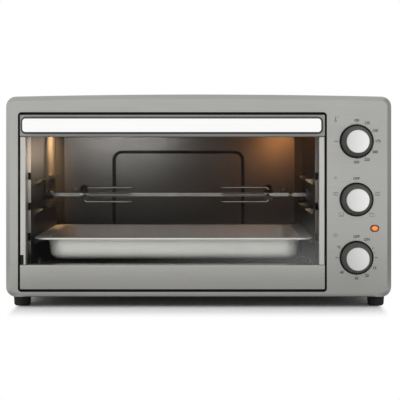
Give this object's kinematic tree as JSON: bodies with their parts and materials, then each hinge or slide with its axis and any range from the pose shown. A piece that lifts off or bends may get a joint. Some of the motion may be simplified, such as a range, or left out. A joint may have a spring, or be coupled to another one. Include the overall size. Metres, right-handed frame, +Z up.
{
  "type": "countertop rotisserie oven",
  "caption": "Countertop rotisserie oven: satin steel body, drop-down glass door with a bar handle, turning knobs, pilot lamp, spit with forks, baking pan and crumb tray.",
  "frame": {"origin": "under the middle of the oven's bounding box, on the counter", "axes": "+X to the right as seen from the front, along the longest extent; +Y to the rear; +Z up; the door faces -Y"},
  "size_m": [0.542, 0.388, 0.3],
  "materials": {
    "satin_steel": "satin",
    "cavity_steel": "aluminised, heat darkened",
    "pan_steel": "satin",
    "bright_aluminium": "bright",
    "polished_trim": "polished",
    "spit_steel": "heat darkened",
    "blackened_steel": "black",
    "zinc_steel": "zinc plated",
    "dark_plastic": "matte",
    "black_plastic": "matte",
    "foot_rubber": "matte",
    "element_sheath": "heat tinted",
    "insulator_ceramic": "matte",
    "cast_metal": "plain",
    "door_glass": "clear",
    "amber_lens": "lit"
  },
  "bodies": {
    "cabinet": {"front_fascia": "satin_steel", "outer_wrap": "satin_steel", "rear_panel": "satin_steel", "base_panel": "satin_steel", "cabinet_screws": "zinc_steel", "cord_gland": "black_plastic", "foot_front_left": "foot_rubber", "foot_front_right": "foot_rubber", "foot_rear_left": "foot_rubber", "foot_rear_right": "foot_rubber", "cavity_frame": "cavity_steel", "cavity_left_wall": "cavity_steel", "cavity_right_wall": "cavity_steel", "cavity_ceiling": "cavity_steel", "cavity_floor": "cavity_steel", "cavity_back": "cavity_steel", "left_rack_guides": "cavity_steel", "right_rack_guides": "cavity_steel", "upper_front_element": "element_sheath", "upper_rear_element": "element_sheath", "lower_front_element": "element_sheath", "lower_rear_element": "element_sheath", "element_insulators": "insulator_ceramic", "spit_support": "blackened_steel", "rotisserie_motor": "cast_metal", "left_hinge_bracket": "blackened_steel", "right_hinge_bracket": "blackened_steel", "door_spring": "zinc_steel", "thermostat": "black_plastic", "function_switch": "black_plastic", "timer_unit": "black_plastic", "pilot_lamp": "amber_lens"},
    "door": {"door_top_rail": "satin_steel", "door_bottom_rail": "satin_steel", "door_left_stile": "bright_aluminium", "door_right_stile": "bright_aluminium", "door_glass": "door_glass", "handle_bar": "dark_plastic", "handle_trim": "polished_trim", "handle_screws": "zinc_steel", "left_hinge_pin": "blackened_steel", "right_hinge_pin": "blackened_steel", "door_stay": "blackened_steel"},
    "temperature_dial": {"temperature_knob": "dark_plastic", "temperature_cap": "bright_aluminium", "temperature_shaft": "zinc_steel"},
    "function_dial": {"function_knob": "dark_plastic", "function_cap": "bright_aluminium", "function_shaft": "zinc_steel"},
    "timer_dial": {"timer_knob": "dark_plastic", "timer_cap": "bright_aluminium", "timer_shaft": "zinc_steel"},
    "spit": {"spit_rod": "spit_steel", "drive_socket": "cast_metal"},
    "left_fork_unit": {"left_fork": "spit_steel"},
    "right_fork_unit": {"right_fork": "spit_steel"},
    "left_thumb": {"left_thumbscrew": "spit_steel"},
    "right_thumb": {"right_thumbscrew": "spit_steel"},
    "pan": {"baking_pan": "pan_steel"},
    "tray": {"crumb_tray": "cavity_steel"}
  },
  "joints": [
    {"name": "door_hinge", "type": "hinge", "parent": "cabinet", "child": "door", "pos_m": [-0.03675, -0.163, 0.0328], "axis": [1, 0, 0], "range_deg": [0, 90], "stiffness_Nm_per_rad": 1, "springref_deg": -20.05, "deforming": ["door_spring"]},
    {"name": "temperature_turn", "type": "hinge", "parent": "cabinet", "child": "temperature_dial", "pos_m": [0.2215, -0.17, 0.2341], "axis": [0, 1, 0], "range_deg": [-235, 35]},
    {"name": "function_turn", "type": "hinge", "parent": "cabinet", "child": "function_dial", "pos_m": [0.2215, -0.17, 0.1525], "axis": [0, 1, 0], "range_deg": [-144, 141]},
    {"name": "timer_turn", "type": "hinge", "parent": "cabinet", "child": "timer_dial", "pos_m": [0.2215, -0.17, 0.0709], "axis": [0, 1, 0], "range_deg": [-30, 300]},
    {"name": "spit_spin", "type": "hinge", "parent": "cabinet", "child": "spit", "pos_m": [-0.03675, -0.0053, 0.151], "axis": [1, 0, 0], "continuous": true},
    {"name": "left_fork_slide", "type": "slide", "parent": "spit", "child": "left_fork_unit", "axis": [1, 0, 0], "range_m": [-0.03, 0.05]},
    {"name": "right_fork_slide", "type": "slide", "parent": "spit", "child": "right_fork_unit", "axis": [1, 0, 0], "range_m": [-0.05, 0.02]},
    {"name": "left_thumbscrew_turn", "type": "hinge", "parent": "left_fork_unit", "child": "left_thumb", "pos_m": [-0.1777, -0.0053, 0.151], "axis": [0, -0.7071, 0.7071], "range_deg": [-180, 180]},
    {"name": "right_thumbscrew_turn", "type": "hinge", "parent": "right_fork_unit", "child": "right_thumb", "pos_m": [0.1042, -0.0053, 0.151], "axis": [0, 0.7071, 0.7071], "range_deg": [-180, 180]},
    {"name": "pan_slide", "type": "slide", "parent": "cabinet", "child": "pan", "axis": [0, -1, 0], "range_m": [0, 0.012]},
    {"name": "crumb_tray_slide", "type": "slide", "parent": "cabinet", "child": "tray", "axis": [0, -1, 0], "range_m": [0, 0.006]}
  ]
}
